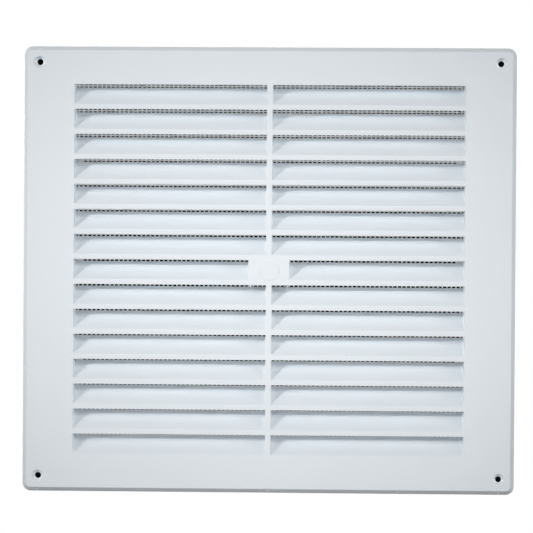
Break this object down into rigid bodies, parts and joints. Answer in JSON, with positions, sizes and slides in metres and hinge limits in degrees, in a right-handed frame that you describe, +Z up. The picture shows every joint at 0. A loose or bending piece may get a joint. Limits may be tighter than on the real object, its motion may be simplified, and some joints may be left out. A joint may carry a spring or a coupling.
{
  "type": "louvred wall vent",
  "caption": "Rectangular moulded wall vent with fixed sloping louvres in two columns, screw holes in the corners and a fly-screen net on its back.",
  "frame": {"origin": "middle of the four screw holes, on the face of the wall that the vent is screwed to", "axes": "+X across the vent, +Y from the room into the wall, +Z up; the louvres face -Y"},
  "size_m": [0.265, 0.012, 0.24],
  "materials": {
    "white_plastic": "white injection-moulded plastic with a soft gloss",
    "net_plastic": "off-white extruded plastic net, slightly glossy strands"
  },
  "bodies": {
    "root": {"louvre_grille": "white_plastic", "fly_screen": "net_plastic"}
  },
  "joints": []
}
